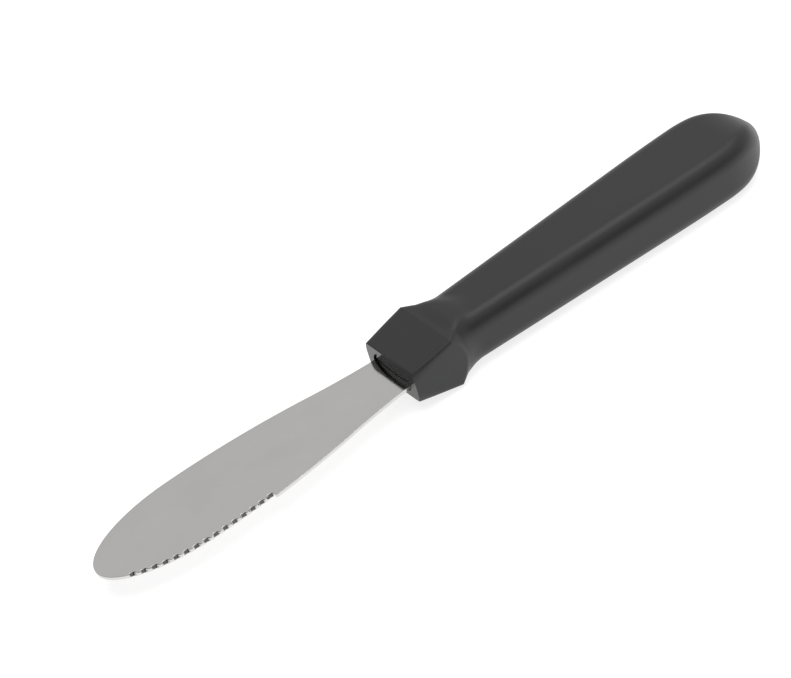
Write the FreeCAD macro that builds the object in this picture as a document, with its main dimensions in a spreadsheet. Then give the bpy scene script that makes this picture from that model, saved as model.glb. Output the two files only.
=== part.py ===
"""Sandwich spreader: a thin serrated steel blade moulded into a black polypropylene handle.

Three pieces: the blade with its tang, the core that is moulded on the tang, and the
handle shell that is moulded over the core.

Every piece is drawn about the spreader's own mid-line: x = 0 is the front face of the
handle, +X runs to the butt, -Y is the serrated side and z = 0 is the middle of the
handle, where the top face of the sheet lies. The finished pieces are then moved so that
the origin lies under the middle of the whole tool, on the surface that it lies on.
Lengths are in millimetres.
"""
import FreeCAD, Part
import math
import os
import Sketcher

os.makedirs("parts", exist_ok=True)
doc = FreeCAD.newDocument("spreader")

DIMENSIONS = {
    "overall_length": 203.0,
    # blade
    "blade_length": 86.1,
    "sheet_thickness": 0.9,
    "blade_half_width": 12.9,
    "edge_grind": 1.0,
    "tip_length": 28.0,
    "side_radius": 227.0,
    "waist_from_tip": 66.0,
    "waist_half_width": 9.95,
    "flare_radius": 179.0,
    "root_half_width": 7.5,
    "serration_end": 42.7,
    "first_scallop": 41.64,
    "scallop_pitch": 2.61,
    "scallop_count": 15.0,
    "scallop_radius": 0.9,
    "scallop_tilt": 35.0,
    "bite_depth": 0.1,
    # tang
    "shoulder_depth": 4.5,
    "tang_half_width": 4.6,
    "tang_length": 66.0,
    "tang_hole_diameter": 4.2,
    "front_hole_position": 28.0,
    "hole_spacing": 24.0,
    # bolster
    "bolster_front_radius": 10.4,
    "bolster_front_half_width": 10.2,
    "bolster_front_half_height": 4.45,
    "bolster_radius": 12.45,
    "bolster_half_width": 10.6,
    "bolster_half_height": 7.18,
    "ramp_length": 12.1,
    "bolster_length": 22.0,
    "bolster_cone_angle": 31.5,
    "bolster_edge_radius": 0.4,
    "cove_radius": 0.5,
    # grip
    "neck_position": 12.5,
    "neck_half_width": 8.55,
    "neck_half_thickness": 6.85,
    "grip_half_width": 11.85,
    "grip_half_thickness": 7.75,
    "grip_side_radius": 400.0,
    "butt_length": 18.0,
    "grip_edge_radius": 4.6,
    # mouth of the handle, and the core behind it
    "mouth_half_width": 7.6,
    "mouth_half_height": 4.1,
    "mouth_depth": 0.6,
    "collar_end": 7.0,
    "core_half_width": 6.4,
    "core_half_thickness": 3.2,
    "core_length": 72.0,
}

sheet = doc.addObject("Spreadsheet::Sheet", "Dimensions")
for row, (alias, value) in enumerate(DIMENSIONS.items(), start=1):
    sheet.set(f"A{row}", alias)
    sheet.set(f"B{row}", str(value))
    sheet.setAlias(f"B{row}", alias)
doc.recompute()


def cells(formula):
    """A formula with each alias in braces turned into a reference to its cell."""
    return formula.replace("{", "Dimensions.").replace("}", "")


def size(alias):
    """The value of one named cell."""
    return float(sheet.get(alias))


def bind(item, prop, formula):
    """Bind a property to a formula in which the sheet's aliases stand in braces."""
    item.setExpression(prop, cells(formula))


def new_body(name):
    body = doc.addObject("PartDesign::Body", name)
    doc.recompute()
    return body


def sketch_on(body, name, role):
    """A sketch attached to one of the body's own origin planes."""
    plane = next(item for item in body.Origin.OriginFeatures if item.Role == role)
    sketch = body.newObject("Sketcher::SketchObject", name)
    sketch.AttachmentSupport = (plane, "")
    sketch.MapMode = "FlatFace"
    return sketch


def add_loop(sketch, curves):
    """Add a closed chain of curves that is worked out from the sheet, and hold it there."""
    first = sketch.GeometryCount
    sketch.addGeometry(curves, False)
    for offset in range(len(curves)):
        sketch.addConstraint(Sketcher.Constraint("Block", first + offset))


def add_polygon(sketch, corners):
    """Add a closed polygon. Each corner is a pair of formulas, for its x and its y."""
    places = [[float(sheet.evalExpression(cells(formula))) for formula in pair] for pair in corners]
    points = [point(*place) for place in places]
    count = len(corners)
    first = sketch.GeometryCount
    sketch.addGeometry([Part.LineSegment(points[i], points[(i + 1) % count]) for i in range(count)], False)
    for i in range(count):
        sketch.addConstraint(Sketcher.Constraint("Coincident", first + i, 2, first + (i + 1) % count, 1))
    for i in range(count):
        for kind, value, formula in zip(("DistanceX", "DistanceY"), places[i], corners[i]):
            index = sketch.addConstraint(Sketcher.Constraint(kind, -1, 1, first + i, 1, value))
            bind(sketch, f"Constraints[{index}]", formula)


def pad(body, sketch, length_formula):
    """A pad to both sides of its sketch, with its whole length given by a formula."""
    feature = body.newObject("PartDesign::Pad", f"{sketch.Name}_pad")
    feature.Profile = sketch
    feature.Midplane = True
    bind(feature, "Length", length_formula)


def cut_through(body, name, corners, width_formula):
    """Cut a polygon of the side view right through a body, and return the pocket."""
    sketch = sketch_on(body, name, "XZ_Plane")
    add_polygon(sketch, corners)
    pocket = body.newObject("PartDesign::Pocket", f"{name}_cut")
    pocket.Profile = sketch
    pocket.Midplane = True
    bind(pocket, "Length", width_formula)
    doc.recompute()
    return pocket


def join(kind, name, base, tool):
    """A boolean of two objects: Part::Cut, Part::Fuse or Part::Common."""
    result = doc.addObject(kind, name)
    result.Base = base
    result.Tool = tool
    return result


def point(x, y):
    return FreeCAD.Vector(x, y, 0)


def mirrored(place):
    return point(place.x, -place.y)


def arc_between(start, end, radius, bulge):
    """The arc between two points. It bulges to the left of the way there (+1) or to the right (-1)."""
    chord = end - start
    left = point(-chord.y, chord.x) / chord.Length
    rise = radius - math.sqrt(radius ** 2 - chord.Length ** 2 / 4)
    return Part.Arc(start, (start + end) / 2 + left * (bulge * rise), end)


def quarter_ellipse(centre_x, reach, half_width, quarter):
    """A quarter of an ellipse about (centre_x, 0). Quarter 0 is +X +Y, and they go anticlockwise."""
    centre = point(centre_x, 0)
    ellipse = Part.Ellipse(centre + point(reach, 0), centre + point(0, half_width), centre)
    return Part.ArcOfEllipse(ellipse, quarter * math.pi / 2, (quarter + 1) * math.pi / 2)


# ---------------------------------------------------------------- blade

tip_x = -size("blade_length")
shoulder = point(tip_x + size("tip_length"), size("blade_half_width"))
waist = point(tip_x + size("waist_from_tip"), size("waist_half_width"))
root = point(0, size("root_half_width"))
side_radius = size("side_radius")
side_chord = waist - shoulder
inward = point(side_chord.y, -side_chord.x) / side_chord.Length
side_centre = (shoulder + waist) / 2 + inward * math.sqrt(side_radius ** 2 - side_chord.Length ** 2 / 4)


def plain_half_width(x):
    """Half the blade's width between its shoulder and its waist."""
    return side_centre.y + math.sqrt(side_radius ** 2 - (x - side_centre.x) ** 2)


def toothed_half_width(x):
    """The distance from the mid-line to the points of the teeth, on the side that is ground back."""
    if x > shoulder.x:
        return plain_half_width(x) - size("edge_grind")
    share = (shoulder.x - x) / size("tip_length")
    return (shoulder.y - size("edge_grind")) * math.sqrt(1 - share ** 2)


heel_x = tip_x + size("serration_end")
heel = point(heel_x, -plain_half_width(heel_x))
last_tooth = point(heel_x, -toothed_half_width(heel_x))
toothed_shoulder = point(shoulder.x, -toothed_half_width(shoulder.x))
far_tang = [
    root,
    point(size("shoulder_depth"), root.y),
    point(size("shoulder_depth"), size("tang_half_width")),
    point(size("tang_length"), size("tang_half_width")),
]
tang = [mirrored(place) for place in far_tang] + far_tang[::-1]

blank = new_body("blade_blank")
blade_outline = sketch_on(blank, "blade_outline", "XY_Plane")
add_loop(blade_outline, [
    quarter_ellipse(shoulder.x, size("tip_length"), shoulder.y, 1),
    quarter_ellipse(shoulder.x, size("tip_length"), -toothed_shoulder.y, 2),
    arc_between(toothed_shoulder, last_tooth, side_radius, -1),
    Part.LineSegment(last_tooth, heel),
    arc_between(heel, mirrored(waist), side_radius, -1),
    arc_between(mirrored(waist), mirrored(root), size("flare_radius"), 1),
    *[Part.LineSegment(start, end) for start, end in zip(tang, tang[1:])],
    arc_between(root, waist, size("flare_radius"), 1),
    arc_between(waist, shoulder, side_radius, -1),
])
for index in range(2):
    along = f"{{front_hole_position}} + {index} * {{hole_spacing}}"
    centre = point(size("front_hole_position") + index * size("hole_spacing"), 0)
    circle = Part.Circle(centre, FreeCAD.Vector(0, 0, 1), size("tang_hole_diameter") / 2)
    hole = blade_outline.addGeometry(circle, False)
    blade_outline.addConstraint(Sketcher.Constraint("PointOnObject", hole, 3, -1))
    place = blade_outline.addConstraint(Sketcher.Constraint("DistanceX", -1, 1, hole, 3, centre.x))
    bind(blade_outline, f"Constraints[{place}]", along)
    width = blade_outline.addConstraint(Sketcher.Constraint("Diameter", hole, 2 * circle.Radius))
    bind(blade_outline, f"Constraints[{width}]", "{tang_hole_diameter}")
pad(blank, blade_outline, "{sheet_thickness}")
# The sheet hangs down from its top face.
blank.Tip.Midplane = False
blank.Tip.Reversed = True

# Each scallop is ground from above by a round wheel, so it runs in further at the top face.
tilt = math.radians(size("scallop_tilt"))
slanted_radius = size("scallop_radius") / math.cos(tilt)
wheels = []
x = tip_x + size("first_scallop")
for index in range(int(size("scallop_count"))):
    half = toothed_half_width(x)
    slope = (toothed_half_width(x + 0.01) - toothed_half_width(x - 0.01)) / 0.02
    outward = point(-slope, -1).normalize()
    axis = FreeCAD.Vector(0, 0, math.cos(tilt)) - outward * math.sin(tilt)
    edge = FreeCAD.Vector(x, -half, -size("sheet_thickness"))
    wheel = doc.addObject("Part::Cylinder", f"scallop_{index + 1}")
    bind(wheel, "Radius", "{scallop_radius}")
    bind(wheel, "Height", "16 * {sheet_thickness}")
    foot = edge + outward * (slanted_radius - size("bite_depth")) - axis * (8 * size("sheet_thickness"))
    wheel.Placement = FreeCAD.Placement(foot, FreeCAD.Rotation(FreeCAD.Vector(0, 0, 1), axis))
    wheels.append(wheel)
    x -= size("scallop_pitch") / math.hypot(1, slope)
scallops = doc.addObject("Part::MultiFuse", "scallops")
scallops.Shapes = wheels
blade = join("Part::Cut", "blade", blank, scallops)


# ---------------------------------------------------------------- core on the tang

def lens_prism(name, from_formula, to_formula):
    """A lens-shaped prism along X: the open mouth of the handle, or the collar that fills it."""
    lens = doc.addObject("Part::Ellipse", f"{name}_outline")
    bind(lens, "MajorRadius", "{mouth_half_width}")
    bind(lens, "MinorRadius", "{mouth_half_height}")
    axes = [FreeCAD.Vector(0, 1, 0), FreeCAD.Vector(0, 0, 1), FreeCAD.Vector(1, 0, 0)]
    lens.Placement = FreeCAD.Placement(FreeCAD.Vector(), FreeCAD.Rotation(*axes, "ZXY"))
    bind(lens, "Placement.Base.x", from_formula)
    prism = doc.addObject("Part::Extrusion", name)
    prism.Base = lens
    prism.DirMode = "Custom"
    prism.Dir = FreeCAD.Vector(1, 0, 0)
    prism.Solid = True
    bind(prism, "LengthFwd", f"({to_formula}) - ({from_formula})")
    return prism


def core_bar(name):
    """The square-edged bar that encloses the tang."""
    bar = doc.addObject("Part::Box", name)
    bind(bar, "Length", "{core_length} - {mouth_depth}")
    bind(bar, "Width", "2 * {core_half_width}")
    bind(bar, "Height", "2 * {core_half_thickness}")
    bind(bar, "Placement.Base.x", "{mouth_depth}")
    bind(bar, "Placement.Base.y", "-{core_half_width}")
    bind(bar, "Placement.Base.z", "-{core_half_thickness}")
    return bar


collar = lens_prism("collar", "{mouth_depth}", "{collar_end}")
core_solid = join("Part::Fuse", "core_solid", collar, core_bar("bar"))
tang_core = join("Part::Cut", "tang_core", core_solid, blank)


# ---------------------------------------------------------------- handle shell

neck = point(size("neck_position"), size("neck_half_width"))
butt_x = size("overall_length") - size("blade_length")
widest = point(butt_x - size("butt_length"), size("grip_half_width"))
swell_radius = size("grip_side_radius")
# The straight side of the grip leaves the neck at the slope that meets the swell smoothly.
run = widest.x - neck.x
side_slope = (run - math.sqrt(run ** 2 - 2 * swell_radius * (widest.y - neck.y))) / swell_radius
swell = widest - point(side_slope, side_slope ** 2 / 2) * swell_radius

grip = new_body("grip")
grip_outline = sketch_on(grip, "grip_outline", "XY_Plane")
add_loop(grip_outline, [
    Part.LineSegment(neck, mirrored(neck)),
    Part.LineSegment(mirrored(neck), mirrored(swell)),
    arc_between(mirrored(swell), mirrored(widest), swell_radius, -1),
    quarter_ellipse(widest.x, size("butt_length"), widest.y, 3),
    quarter_ellipse(widest.x, size("butt_length"), widest.y, 0),
    arc_between(widest, swell, swell_radius, -1),
    Part.LineSegment(swell, neck),
])
pad(grip, grip_outline, "2 * {grip_half_thickness}")
for name, side in (("top_taper", "1"), ("bottom_taper", "-1")):
    grip_slab = cut_through(grip, name, [
        ("{neck_position}", side + " * {neck_half_thickness}"),
        ("{overall_length} - {blade_length}", side + " * {grip_half_thickness}"),
        ("{overall_length} - {blade_length}", side + " * 2 * {grip_half_thickness}"),
        ("{neck_position}", side + " * 2 * {grip_half_thickness}"),
    ], "4 * {grip_half_width}")
rim = [f"Edge{i}" for i, edge in enumerate(grip_slab.Shape.Edges, start=1) if edge.BoundBox.XLength > 0.01]
grip_rounding = grip.newObject("PartDesign::Fillet", "grip_rounding")
grip_rounding.Base = (grip_slab, rim)
bind(grip_rounding, "Radius", "{grip_edge_radius}")

block = new_body("bolster_block")
block_outline = sketch_on(block, "bolster_outline", "XY_Plane")
add_polygon(block_outline, [
    ("0 * {ramp_length}", "-{bolster_front_half_width}"),
    ("{ramp_length}", "-{bolster_half_width}"),
    ("{bolster_length}", "-{bolster_half_width}"),
    ("{bolster_length}", "{bolster_half_width}"),
    ("{ramp_length}", "{bolster_half_width}"),
    ("0 * {ramp_length}", "{bolster_front_half_width}"),
])
pad(block, block_outline, "2 * {bolster_half_height}")
for name, side in (("top_ramp", "1"), ("bottom_ramp", "-1")):
    cut_through(block, name, [
        ("-{ramp_length}", side + " * {bolster_front_half_height}"),
        ("0 * {ramp_length}", side + " * {bolster_front_half_height}"),
        ("{ramp_length}", side + " * {bolster_half_height}"),
        ("{ramp_length}", side + " * 2 * {bolster_half_height}"),
        ("-{ramp_length}", side + " * 2 * {bolster_half_height}"),
    ], "4 * {bolster_half_width}")

# Between its four flat faces the bolster is turned: it widens to the end of the ramps, and
# then falls away to the grip.
growth = "({bolster_radius} - {bolster_front_radius}) / {ramp_length}"
fall = "tan({bolster_cone_angle} * 1 deg)"
bolster = block
for name, front_radius, back_radius in (
    ("front_cone", "{bolster_front_radius}", "{bolster_front_radius} + {bolster_length} * " + growth),
    ("back_cone", "{bolster_radius} + {ramp_length} * " + fall,
     "{bolster_radius} - ({bolster_length} - {ramp_length}) * " + fall),
):
    cone = doc.addObject("Part::Cone", name)
    bind(cone, "Radius1", front_radius)
    bind(cone, "Radius2", back_radius)
    bind(cone, "Height", "{bolster_length}")
    cone.Placement = FreeCAD.Placement(FreeCAD.Vector(), FreeCAD.Rotation(FreeCAD.Vector(0, 1, 0), 90))
    bolster = join("Part::Common", f"bolster_in_{name}", bolster, cone)
handle_solid = join("Part::Fuse", "handle_solid", bolster, grip)
doc.recompute()


def rounding_radius(edge):
    """The rounding of one edge of the handle, or None where it stays as it is."""
    box = edge.BoundBox
    along_bolster = box.XMin < 0.01 < box.XMax < size("ramp_length") + 0.01
    behind_bolster = box.XMin > size("ramp_length") + 3 and box.XMax < size("bolster_length")
    if along_bolster:
        return size("bolster_edge_radius")
    if behind_bolster and not isinstance(edge.Curve, Part.Line):
        return size("cove_radius")
    return None


radii = [rounding_radius(edge) for edge in handle_solid.Shape.Edges]
handle_outside = doc.addObject("Part::Fillet", "handle_outside")
handle_outside.Base = handle_solid
handle_outside.Edges = [(i, radius, radius) for i, radius in enumerate(radii, start=1) if radius]
mouth = lens_prism("mouth", "-{mouth_depth}", "{collar_end}")
cavity = join("Part::Fuse", "cavity", mouth, core_bar("cavity_bar"))
handle_shell = join("Part::Cut", "handle_shell", handle_outside, cavity)


# ---------------------------------------------------------------- places and files

pieces = [blade, tang_core, handle_shell]
mid_line = (side_centre.y + side_radius + heel.y) / 2
for piece in pieces:
    piece.Label = piece.Name
    bind(piece, "Placement.Base.x", "{blade_length} - {overall_length} / 2")
    bind(piece, "Placement.Base.y", str(-mid_line))
    bind(piece, "Placement.Base.z", "{grip_half_thickness}")
doc.recompute()

for item in doc.Objects:
    if "Invalid" in item.State or "Error" in item.State:
        raise RuntimeError(f"{item.Name} did not recompute: {item.getStatusString()}")
for piece in pieces:
    if piece.Shape.isNull() or not piece.Shape.isValid() or len(piece.Shape.Solids) != 1:
        raise RuntimeError(f"{piece.Label} is not one valid solid")
for piece in pieces:
    piece.Shape.exportStep(f"parts/{piece.Label}.step")
    box = piece.Shape.BoundBox
    print(piece.Label, round(piece.Shape.Volume, 1), "mm3", box)
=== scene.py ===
"""Looks of the sandwich spreader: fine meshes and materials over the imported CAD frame.

The pieces are drawn in millimetres until place() puts them in the frame, and the studio
is in metres. As in the CAD model, x = 0 is the front face of the handle, +X runs to the
butt, -Y is the serrated side and z = 0 is the middle of the handle, where the sheet's
top face lies.
"""
import bpy
import bmesh
import math
from mathutils import Matrix, Vector


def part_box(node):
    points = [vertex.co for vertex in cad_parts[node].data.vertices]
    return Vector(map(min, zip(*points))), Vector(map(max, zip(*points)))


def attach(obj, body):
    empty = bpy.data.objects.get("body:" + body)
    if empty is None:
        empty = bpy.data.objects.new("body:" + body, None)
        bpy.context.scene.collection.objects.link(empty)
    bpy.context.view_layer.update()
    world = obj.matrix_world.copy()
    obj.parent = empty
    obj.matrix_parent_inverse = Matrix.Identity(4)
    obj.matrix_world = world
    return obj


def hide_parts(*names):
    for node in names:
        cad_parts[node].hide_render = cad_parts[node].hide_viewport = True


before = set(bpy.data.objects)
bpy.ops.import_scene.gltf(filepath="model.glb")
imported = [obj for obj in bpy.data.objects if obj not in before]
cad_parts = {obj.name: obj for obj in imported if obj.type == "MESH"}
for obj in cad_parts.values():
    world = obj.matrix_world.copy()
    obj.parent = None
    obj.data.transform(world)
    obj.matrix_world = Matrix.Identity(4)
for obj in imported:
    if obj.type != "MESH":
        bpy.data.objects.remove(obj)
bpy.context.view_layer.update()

MM = 0.001
SMALL = 1e-6
shell_low, shell_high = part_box("handle_shell")
blade_low, blade_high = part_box("blade")
ORIGIN = Vector((shell_low[0], (shell_low[1] + shell_high[1]) / 2, blade_high[2]))

TIP = (blade_low[0] - shell_low[0]) / MM
TANG_END = (blade_high[0] - shell_low[0]) / MM
HANDLE_LENGTH = (shell_high[0] - shell_low[0]) / MM
SHEET = (blade_high[2] - blade_low[2]) / MM             # the sheet's thickness
GRIP_HALF_WIDTH = (shell_high[1] - shell_low[1]) / 2 / MM


def place(x, y, z):
    """The spot in the frame, in metres, of a spot given in the handle's millimetres."""
    return ORIGIN + Vector((x, y, z)) * MM


def mix(a, b, share):
    return a + (b - a) * share


def ease(low, high, value):
    """0 below low, 1 above high, and a smooth step between."""
    share = min(max((value - low) / (high - low), 0), 1)
    return share * share * (3 - 2 * share)


def soft_max(a, b, reach):
    """The larger of two, rounded over where they differ by less than reach."""
    if reach <= 0:
        return max(a, b)
    near = max(reach - abs(a - b), 0) / reach
    return max(a, b) + near * near * reach / 4


def soft_min(a, b, reach):
    """The smaller of two, rounded over in the same way."""
    return -soft_max(-a, -b, reach)


def new_object(name, vertices, faces, flat=()):
    """A mesh object with outward faces. It is shaded smooth except on the faces listed in flat."""
    mesh = bpy.data.meshes.new(name)
    mesh.from_pydata([place(*vertex) for vertex in vertices], [], faces)
    shape = bmesh.new()
    shape.from_mesh(mesh)
    bmesh.ops.recalc_face_normals(shape, faces=shape.faces)
    shape.to_mesh(mesh)
    shape.free()
    for polygon in mesh.polygons:
        polygon.use_smooth = True
    for index in flat:
        mesh.polygons[index].use_smooth = False
    piece = bpy.data.objects.new(name, mesh)
    bpy.context.scene.collection.objects.link(piece)
    return piece


def tube_faces(rings, around):
    """The quads between rings of vertices that follow one another from the first vertex."""
    faces = []
    for i in range(rings - 1):
        for j in range(around):
            k = (j + 1) % around
            low, high = i * around, (i + 1) * around
            faces.append((low + j, low + k, high + k, high + j))
    return faces


# ---------------------------------------------------------------- handle

BOLSTER_FRONT = (10.2, 4.45, 10.4)      # half width, half height and turned radius at the front
BOLSTER_BACK = (10.6, 7.18, 12.45)      # and where the ramps end
RAMP_LENGTH = 12.1
BOLSTER_FALL = math.tan(math.radians(31.5))
SIDE_EDGE = 0.35                        # roundings: where the sides meet the turned surface,
CREASE = 1.1                            # where both meet the top and bottom flats,
FRONT_EDGE = 0.2                        # and round the front face
NECK = (12.5, 8.55, 6.85)               # x, half width, half thickness
GRIP_HALF_THICKNESS = 7.75
GRIP_EDGE = 4.6
SWELL_RADIUS = 400.0
BUTT_LENGTH = 18.0
BUTT_NOSE = 12.5
MOUTH = (7.6, 4.1)                      # half width and half height of the lens
MOUTH_DEPTH = 0.6
MOUTH_RINGS = (                         # depth, and growth outwards: the lip turns out in front
    (MOUTH_DEPTH + 1.5, 0), (MOUTH_DEPTH, 0), (0.12, 0), (0.03, 0.02), (0, 0.07),
)
COVE = 2.6                              # the hollow between bolster and grip, which grows to
COVE_REACH = 5.0                        # its full size over this length behind the ramps
COVE_END = RAMP_LENGTH + 9.5
WAIST_END = 34.0
EDGE_MIDDLE = 0.3                       # a rounded edge's middle is this share of its radius in
CORNER_SHIFT = (RAMP_LENGTH + 4, RAMP_LENGTH + 12)      # from the bolster's corners to the grip's

widest_x = HANDLE_LENGTH - BUTT_LENGTH
run = widest_x - NECK[0]
side_slope = (run - math.sqrt(run ** 2 - 2 * SWELL_RADIUS * (GRIP_HALF_WIDTH - NECK[1]))) / SWELL_RADIUS
swell_x = widest_x - side_slope * SWELL_RADIUS


def rounded_box_radius(half_width, half_height, edge, angle):
    """From the middle of a round-cornered box to its outside, at an angle from the Y axis."""
    across, up = abs(math.cos(angle)), abs(math.sin(angle))
    edge = min(edge, half_width, half_height)
    if across > 0 and half_width / across * up <= half_height - edge:
        return half_width / across
    if up > 0 and half_height / up * across <= half_width - edge:
        return half_height / up
    y, z = half_width - edge, half_height - edge
    along = y * across + z * up
    return along + math.sqrt(max(along ** 2 - y ** 2 - z ** 2 + edge ** 2, 0))


def grip_section(x):
    """Half width, half thickness and edge radius of the grip at x."""
    if x < swell_x:
        half_width = NECK[1] + side_slope * (x - NECK[0])
    else:
        half_width = GRIP_HALF_WIDTH - max(widest_x - x, 0) ** 2 / (2 * SWELL_RADIUS)
    thickness = mix(NECK[2], GRIP_HALF_THICKNESS, (x - NECK[0]) / (HANDLE_LENGTH - NECK[0]))
    to_end = min(max((x - widest_x) / BUTT_LENGTH, 0), 1)
    half_width *= math.sqrt(1 - to_end ** 2)
    to_nose = min(max((x - HANDLE_LENGTH + BUTT_NOSE) / BUTT_NOSE, 0), 1)
    thickness *= math.sqrt(1 - to_nose ** 2)
    return half_width, thickness, GRIP_EDGE


def bolster_section(x):
    """Half width, half height and turned radius of the bolster at x."""
    share = min(x / RAMP_LENGTH, 1)
    half_width, half_height, radius = [mix(a, b, share) for a, b in zip(BOLSTER_FRONT, BOLSTER_BACK)]
    return half_width, half_height, radius - max(x - RAMP_LENGTH, 0) * BOLSTER_FALL


def handle_radius(x, angle, inset):
    """From the middle of the handle to its outside, with the bolster drawn in by inset."""
    half_width, half_height, turned = bolster_section(x)
    sides = (half_width - inset) / max(abs(math.cos(angle)), SMALL)
    flats = (half_height - inset) / max(abs(math.sin(angle)), SMALL)
    bolster = soft_min(soft_min(sides, turned - inset, SIDE_EDGE), flats, CREASE)
    if x < RAMP_LENGTH:
        return bolster
    grip = rounded_box_radius(*grip_section(x), angle)
    return soft_max(grip, bolster, COVE * ease(RAMP_LENGTH, RAMP_LENGTH + COVE_REACH, x))


def corner_angle(x):
    """The angle of the section's corner, which the mesh lines follow."""
    half_height, radius = bolster_section(min(x, RAMP_LENGTH))[1:]
    in_bolster = math.asin(half_height / radius)
    half_width, half_height, edge = grip_section(max(x, NECK[0]))
    in_grip = math.atan2(half_height - edge * EDGE_MIDDLE, half_width - edge * EDGE_MIDDLE)
    return mix(in_bolster, in_grip, ease(*CORNER_SHIFT, min(x, widest_x)))


SIDE_STEPS = 22                         # mesh lines from the side to the corner,
TOP_STEPS = 26                          # from the corner to the top,
CROWDING = 1.8                          # and how strongly they crowd towards the corner
FRONT_EDGE_STEPS = 4


def section_angles(x):
    """Angles right round the section, closer together near its four corners."""
    corner = corner_angle(min(x, widest_x))
    quadrant = [corner * (1 - (1 - i / SIDE_STEPS) ** CROWDING) for i in range(SIDE_STEPS)]
    quadrant += [corner + (math.pi / 2 - corner) * (i / TOP_STEPS) ** CROWDING for i in range(TOP_STEPS)]
    half = quadrant + [math.pi / 2] + [math.pi - angle for angle in reversed(quadrant[1:])]
    return half + [angle + math.pi for angle in half]


def spread(low, high, count, power=1.0):
    """Values from low up to just short of high, crowded at the high end where power is over 1."""
    return [high - (high - low) * (1 - i / count) ** power for i in range(count)]


def mouth_ring(depth, grow, angles):
    """One ring of the lens-shaped mouth, grown outwards by a little."""
    ring = []
    for angle in angles:
        radius = 1 / math.hypot(math.cos(angle) / MOUTH[0], math.sin(angle) / MOUTH[1]) + grow
        ring.append((depth, radius * math.cos(angle), radius * math.sin(angle)))
    return ring


def make_handle():
    """The whole outside of the handle, and the wall of its mouth down to the core."""
    turns = [i * math.pi / 2 / FRONT_EDGE_STEPS for i in range(FRONT_EDGE_STEPS + 1)]
    rounding = [(FRONT_EDGE * (1 - math.cos(turn)), FRONT_EDGE * (1 - math.sin(turn))) for turn in turns]
    lengthwise = (spread(FRONT_EDGE + 0.4, RAMP_LENGTH - 0.4, 24)
                  + spread(RAMP_LENGTH - 0.3, COVE_END, 80)
                  + spread(COVE_END, WAIST_END, 30)
                  + spread(WAIST_END, widest_x, 44)
                  + spread(widest_x, HANDLE_LENGTH, 52, 2.0))
    around = len(section_angles(0))
    vertices = []
    for depth, grow in MOUTH_RINGS:
        vertices.extend(mouth_ring(depth, grow, section_angles(0)))
    for x, inset in rounding + [(x, 0) for x in lengthwise]:
        for angle in section_angles(x):
            radius = handle_radius(x, angle, inset)
            vertices.append((x, radius * math.cos(angle), radius * math.sin(angle)))
    rings = len(vertices) // around
    faces = tube_faces(rings, around)
    last = (rings - 1) * around
    faces.extend((last + j, last + (j + 1) % around, len(vertices)) for j in range(around))
    vertices.append((HANDLE_LENGTH, 0, 0))
    front_end = len(MOUTH_RINGS) * around
    front = range(front_end - around, front_end)
    handle = new_object("handle", vertices, faces, front)
    for index in front:
        handle.data.polygons[index].material_index = 1
    return handle


# ---------------------------------------------------------------- core

CORE_STEPS = 96
CORE_FRONT = MOUTH_DEPTH - 0.15         # the core's front face stands a little into the mouth
CORE_RINGS = (                          # depth, and growth past the wall of the mouth
    (MOUTH_DEPTH + 1.4, -0.02), (MOUTH_DEPTH, -0.02), (CORE_FRONT, -0.15),
)
SLOT_RINGS = (                          # depth, half width and half height of the slot
    (CORE_FRONT, 7.25, 1.5), (MOUTH_DEPTH, 7.2, 1.35), (MOUTH_DEPTH + 1.6, 7.2, 1.3),
)


def make_core():
    """The end of the core that shows in the handle's mouth, with a slot in it round the sheet."""
    angles = [2 * math.pi * j / CORE_STEPS for j in range(CORE_STEPS)]
    vertices = []
    for depth, grow in CORE_RINGS:
        vertices.extend(mouth_ring(depth, grow, angles))
    for depth, half_width, half_height in SLOT_RINGS:
        vertices.extend((depth, half_width * math.cos(angle), half_height * math.sin(angle) - SHEET / 2)
                        for angle in angles)
    rings = len(CORE_RINGS) + len(SLOT_RINGS)
    faces = tube_faces(rings, CORE_STEPS)
    faces.append(tuple((rings - 1) * CORE_STEPS + j for j in range(CORE_STEPS)))
    front_end = len(CORE_RINGS) * CORE_STEPS
    return new_object("core_end", vertices, faces, range(front_end - CORE_STEPS, front_end))


# ---------------------------------------------------------------- blade

BLADE_HALF_WIDTH = 12.9
TIP_LENGTH = 28.0
SIDE_RADIUS = 227.0
WAIST = (TIP + 66.0, 9.95)
FLARE_RADIUS = 179.0
ROOT_HALF_WIDTH = 7.5
HEEL = TIP + 42.7
EDGE_GRIND = 1.0
FIRST_SCALLOP = TIP + 41.64
SCALLOP_PITCH = 2.61
SCALLOP_COUNT = 15
SCALLOP_RADIUS = 1.35
SCALLOP_TILT = math.radians(35)
BITE = 0.16                             # how deep the scallops cut into the sheet's underside
SHEET_EDGE = 0.05
SHOULDER_DEPTH = 4.5
TANG_HALF_WIDTH = 4.6
TIP_STEPS = 110
REAR_STEPS = 60
LEVEL_STEPS = 6                         # mesh lines down the sheet's edge
EDGE_STEP = 0.1                         # between mesh lines along the teeth
STEP_RUN = 0.02                         # the length over which the outline steps in or out
HEEL_REACH = 0.3                        # this near the heel, the edge is taken to run along X
NUDGE = 0.01


def circle_between(start, end, radius, bulge):
    """The centre of the circle through two points that lies below (+1) or above (-1) them."""
    chord = Vector(end) - Vector(start)
    across = Vector((chord.y, -chord.x)).normalized() * bulge
    return (Vector(start) + Vector(end)) / 2 + across * math.sqrt(radius ** 2 - chord.length_squared / 4)


SHOULDER = (TIP + TIP_LENGTH, BLADE_HALF_WIDTH)
side_centre = circle_between(SHOULDER, WAIST, SIDE_RADIUS, 1)
flare_centre = circle_between(WAIST, (0, ROOT_HALF_WIDTH), FLARE_RADIUS, -1)


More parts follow.
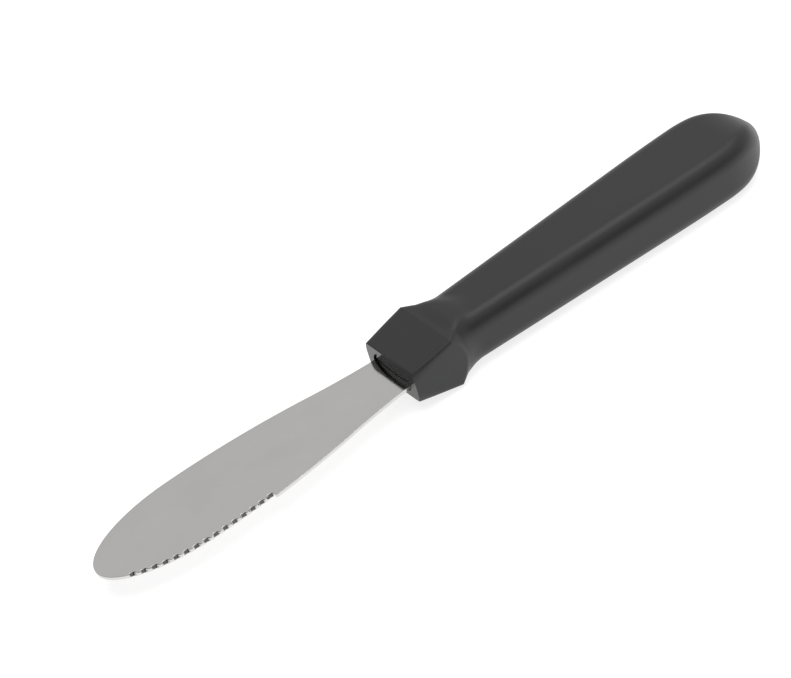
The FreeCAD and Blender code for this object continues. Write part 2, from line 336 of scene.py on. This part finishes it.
def plain_half_width(x, grind=0.0):
    """Half the width of the sheet at x, less what is ground off the serrated side."""
    if x < SHOULDER[0]:
        share = (SHOULDER[0] - x) / TIP_LENGTH
        return (BLADE_HALF_WIDTH - grind) * math.sqrt(max(1 - share ** 2, 0))
    if x < WAIST[0]:
        return side_centre.y + math.sqrt(SIDE_RADIUS ** 2 - (x - side_centre.x) ** 2) - grind
    return flare_centre.y - math.sqrt(FLARE_RADIUS ** 2 - (x - flare_centre.x) ** 2)


def near_stations():
    """Points along the serrated side, from the tip to the root."""
    toothed = [TIP + TIP_LENGTH * (1 - math.cos(i / TIP_STEPS * math.pi / 2)) for i in range(1, TIP_STEPS)]
    x = SHOULDER[0]
    while x < HEEL - EDGE_STEP / 2:
        toothed.append(x)
        x += EDGE_STEP
    toothed.append(HEEL)
    stations = [(x, -plain_half_width(x, EDGE_GRIND)) for x in toothed]
    return stations + [(x, -plain_half_width(x)) for x in spread(HEEL + STEP_RUN, 0, REAR_STEPS)]


def scallop_centres():
    """Each scallop's middle on the ground edge, one pitch after another towards the tip."""
    centres, x = [], FIRST_SCALLOP
    for _ in range(SCALLOP_COUNT):
        centres.append(Vector((x, -plain_half_width(x, EDGE_GRIND))))
        low, high = plain_half_width(x - NUDGE, EDGE_GRIND), plain_half_width(x + NUDGE, EDGE_GRIND)
        x -= SCALLOP_PITCH / math.hypot(1, (high - low) / (2 * NUDGE))
    return centres


scallops = scallop_centres()


def bite(spot, z):
    """How far the nearest scallop runs in from this spot on the edge, at height z in the sheet."""
    away = min((spot - centre).length for centre in scallops)
    if away >= SCALLOP_RADIUS:
        return 0
    rise = SCALLOP_RADIUS - math.sqrt(SCALLOP_RADIUS ** 2 - away ** 2)
    return max(BITE - rise / math.cos(SCALLOP_TILT) + (z + SHEET) * math.tan(SCALLOP_TILT), 0)


def make_blade():
    """The sheet with its hollow-ground teeth, and the tang that runs on into the handle.

    The mesh is a row of rings from the tip to the end of the tang. Each runs down the
    serrated edge and up the plain one, and a column of points closes the tip.
    """
    drop = SHEET - 2 * SHEET_EDGE
    levels = [0] + [-SHEET_EDGE - drop * i / LEVEL_STEPS for i in range(LEVEL_STEPS + 1)] + [-SHEET]
    insets = [SHEET_EDGE] + [0] * (LEVEL_STEPS + 1) + [SHEET_EDGE]
    stations = near_stations()
    vertices = []
    for i, (x, y) in enumerate(stations):
        before, after = Vector(stations[max(i - 1, 0)]), Vector(stations[min(i + 1, len(stations) - 1)])
        along = (after - before).normalized() if abs(x - HEEL) > HEEL_REACH else Vector((1, 0))
        inward = Vector((-along.y, along.x))
        spot = Vector((x, y))
        half = plain_half_width(x)
        toothed = x <= HEEL
        for z, inset in zip(levels, insets):
            moved = spot + inward * (inset + (bite(spot, z) if toothed else 0))
            vertices.append((moved.x, moved.y, z))
        for z, inset in zip(reversed(levels), insets):
            vertices.append((x, half - inset, z))
    for x, half in (
        (SHOULDER_DEPTH, ROOT_HALF_WIDTH),
        (SHOULDER_DEPTH + STEP_RUN, TANG_HALF_WIDTH),
        (TANG_END, TANG_HALF_WIDTH),
    ):
        vertices.extend((x, inset - half, z) for z, inset in zip(levels, insets))
        vertices.extend((x, half - inset, z) for z, inset in zip(reversed(levels), insets))
    around = 2 * len(levels)
    rings = len(vertices) // around
    faces = tube_faces(rings, around)
    flat = [i for i in range(len(faces)) if i % around in (len(levels) - 1, around - 1)]
    last = (rings - 1) * around
    faces.append(tuple(last + j for j in range(around)))
    middle = len(vertices)
    vertices.extend((TIP, 0, z) for z in levels[1:-1])
    top, bottom = middle, middle + len(levels) - 3
    for side in range(2):
        ring = [j + side * len(levels) for j in range(len(levels))]
        column = [top + j for j in range(len(levels) - 2)]
        if side:
            column.reverse()
        faces.append((ring[0], ring[1], column[0]))
        faces.extend((ring[j], ring[j + 1], column[j], column[j - 1]) for j in range(1, len(levels) - 2))
        faces.append((ring[-2], ring[-1], column[-1]))
    faces.append((0, top, around - 1))
    faces.append((len(levels) - 1, bottom, len(levels)))
    return new_object("sheet", vertices, faces, flat)


# ---------------------------------------------------------------- materials

NOISE_LOW, NOISE_HIGH = 0.3, 0.7        # most of the noise lies between these
STEEL_DARK = (0.612, 0.604, 0.594)
STEEL_LIGHT = (0.634, 0.628, 0.618)
STEEL_ROUGHNESS = (0.10, 0.15)
PLASTIC_PATCHES = (0.9, 1.1)            # the darkest and lightest patches, against the shade
PLASTIC_BLUE = 1.02                     # its blue against its red and green


def new_material(name):
    """A new material, with its nodes, its links and its main shader."""
    material = bpy.data.materials.new(name)
    material.use_nodes = True
    nodes = material.node_tree.nodes
    return material, nodes, material.node_tree.links, nodes["Principled BSDF"]


def noise(nodes, links, stretch, scale, detail):
    """Noise in object space, at about this many features per metre, scaled again on each axis."""
    coordinates = nodes.new("ShaderNodeTexCoord")
    mapping = nodes.new("ShaderNodeMapping")
    mapping.inputs["Scale"].default_value = stretch
    links.new(coordinates.outputs["Object"], mapping.inputs["Vector"])
    texture = nodes.new("ShaderNodeTexNoise")
    texture.inputs["Scale"].default_value = scale
    texture.inputs["Detail"].default_value = detail
    links.new(mapping.outputs["Vector"], texture.inputs["Vector"])
    return texture.outputs["Fac"]


def ranged(nodes, links, source, low, high):
    """The noise's middle range mapped to low..high."""
    span = nodes.new("ShaderNodeMapRange")
    span.inputs["From Min"].default_value = NOISE_LOW
    span.inputs["From Max"].default_value = NOISE_HIGH
    span.inputs["To Min"].default_value = low
    span.inputs["To Max"].default_value = high
    links.new(source, span.inputs["Value"])
    return span.outputs["Result"]


def tinted(nodes, links, source, dark, light):
    """The noise's middle range mapped to colours from dark to light."""
    ramp = nodes.new("ShaderNodeValToRGB")
    for element, position, colour in zip(ramp.color_ramp.elements, (NOISE_LOW, NOISE_HIGH), (dark, light)):
        element.position = position
        element.color = (*colour, 1)
    links.new(source, ramp.inputs["Fac"])
    return ramp.outputs["Color"]


def bumped(nodes, links, shader, source, strength, height):
    """Relief on the shader's surface, with its height in metres."""
    bump = nodes.new("ShaderNodeBump")
    bump.inputs["Strength"].default_value = strength
    bump.inputs["Distance"].default_value = height
    links.new(source, bump.inputs["Height"])
    links.new(bump.outputs["Normal"], shader.inputs["Normal"])


def steel():
    """Satin stainless steel with polishing lines along the blade and faint cloudy marks."""
    material, nodes, links, shader = new_material("satin_steel")
    shader.inputs["Metallic"].default_value = 1
    clouds = noise(nodes, links, stretch=(1, 1.6, 1), scale=90, detail=4)
    lines = noise(nodes, links, stretch=(0.06, 1, 1), scale=5200, detail=2)
    links.new(tinted(nodes, links, clouds, STEEL_DARK, STEEL_LIGHT), shader.inputs["Base Color"])
    links.new(ranged(nodes, links, clouds, *STEEL_ROUGHNESS), shader.inputs["Roughness"])
    bumped(nodes, links, shader, lines, strength=0.12, height=0.000004)
    return material


def black_plastic(name, shade, low, high):
    """Black polypropylene with a fine moulded grain. Its roughness runs from low to high in patches."""
    material, nodes, links, shader = new_material(name)
    patches = noise(nodes, links, stretch=(0.5, 1, 1), scale=110, detail=4)
    grain = noise(nodes, links, stretch=(1, 1, 1), scale=4200, detail=2)
    dark, light = [(shade * share, shade * share, shade * share * PLASTIC_BLUE) for share in PLASTIC_PATCHES]
    links.new(tinted(nodes, links, patches, dark, light), shader.inputs["Base Color"])
    links.new(ranged(nodes, links, patches, low, high), shader.inputs["Roughness"])
    bumped(nodes, links, shader, grain, strength=0.22, height=0.00002)
    return material


# ---------------------------------------------------------------- pieces

steel_material = steel()
front_material = black_plastic("moulded_front_face", shade=0.014, low=0.12, high=0.18)
handle_material = black_plastic("black_polypropylene", shade=0.0155, low=0.38, high=0.46)
core_material = black_plastic("core_polypropylene", shade=0.015, low=0.14, high=0.2)
for piece, replaced, slot, materials in (
    (make_handle(), ["handle_shell"], "handle_plastic", [handle_material, front_material]),
    (make_blade(), ["blade"], "blade_steel", [steel_material]),
    (make_core(), [], "core_plastic", [core_material]),
):
    for material in materials:
        piece.data.materials.append(material)
    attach(piece, "root")
    for node in replaced:
        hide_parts(node)
# Behind its new end, the core is seen as the CAD has it.
core_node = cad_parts["tang_core"]
core_node.data.materials.clear()
core_node.data.materials.append(core_material)


# ---------------------------------------------------------------- stage, light and camera

FLOOR = [(-4, -4, 0), (4, -4, 0), (4, 4, 0), (-4, 4, 0)]
TIP_CARD = [(-0.9, -2.4, 0.35), (-0.9, 2.4, 0.35), (-1.1, 2.4, 2.3), (-1.1, -2.4, 2.3)]
SIDE_CARD = [(-1.0, -1.2, 0.15), (1.6, -1.2, 0.15), (1.6, -1.2, 1.0), (-1.0, -1.2, 1.0)]
WORLD_GREY = 0.68


def make_plane(name, corners, colour, glow):
    """A flat part of the studio."""
    mesh = bpy.data.meshes.new(name)
    mesh.from_pydata(corners, [], [tuple(range(len(corners)))])
    plane = bpy.data.objects.new(name, mesh)
    bpy.context.scene.collection.objects.link(plane)
    material, _, _, shader = new_material(name)
    shader.inputs["Base Color"].default_value = (colour, colour, colour, 1)
    shader.inputs["Roughness"].default_value = 0.9
    shader.inputs["Specular IOR Level"].default_value = 0
    shader.inputs["Emission Color"].default_value = (1, 1, 1, 1)
    shader.inputs["Emission Strength"].default_value = glow
    mesh.materials.append(material)


def area_light(name, position, target, width, power, glossy):
    """A round light, seen in reflections where glossy is set. Its power is in watts."""
    light = bpy.data.lights.new(name, "AREA")
    light.shape = "DISK"
    light.size = width
    light.energy = power
    lamp = bpy.data.objects.new(name, light)
    lamp.location = position
    lamp.rotation_euler = (Vector(target) - Vector(position)).to_track_quat("-Z", "Y").to_euler()
    lamp.visible_glossy = glossy
    bpy.context.scene.collection.objects.link(lamp)


make_plane("floor", FLOOR, colour=0.35, glow=0.8)
# The front face of the handle reflects the card beyond the tip, and the scallops the side card.
make_plane("tip_card", TIP_CARD, colour=0.02, glow=0)
make_plane("side_card", SIDE_CARD, colour=0.02, glow=0.17)
world = bpy.data.worlds.new("studio")
world.use_nodes = True
background = world.node_tree.nodes["Background"]
background.inputs["Color"].default_value = (WORLD_GREY, WORLD_GREY, WORLD_GREY, 1)
bpy.context.scene.world = world
# Reflected in the blade, the overhead light would turn it white from above. The ridge light
# draws the highlight along the handle's upper edge.
area_light("overhead", (0.1, -0.1, 1.6), (0, 0, 0), width=1.6, power=18, glossy=False)
area_light("ridge_light", (0.53, 0.08, 1.41), (0.03, 0, 0), width=0.8, power=3, glossy=True)
bpy.context.scene.view_settings.view_transform = "Standard"

LOOK = Vector((0.33781, 0.71064, -0.61715)).normalized()
ROLL = math.radians(-17.64)
DISTANCE = 0.5973
AIM = place(4.66, 2.5, 5.64)
LENS = 113.78                           # focal length and sensor width in millimetres
SENSOR = 36
SHIFT = (-0.00057649, 0.0015196)        # of the picture, against its width
NEAREST = 0.01
camera_data = bpy.data.cameras.new("camera")
camera_data.lens = LENS
camera_data.sensor_width = SENSOR
camera_data.clip_start = NEAREST
camera_data.shift_x, camera_data.shift_y = SHIFT
camera = bpy.data.objects.new("camera", camera_data)
bpy.context.scene.collection.objects.link(camera)
level_right = LOOK.cross(Vector((0, 0, 1))).normalized()
level_up = level_right.cross(LOOK)
right = level_right * math.cos(ROLL) + level_up * math.sin(ROLL)
up = right.cross(LOOK)
turned = Matrix((right, up, -LOOK)).transposed().to_4x4()
camera.matrix_world = Matrix.Translation(AIM - LOOK * DISTANCE) @ turned
bpy.context.scene.camera = camera
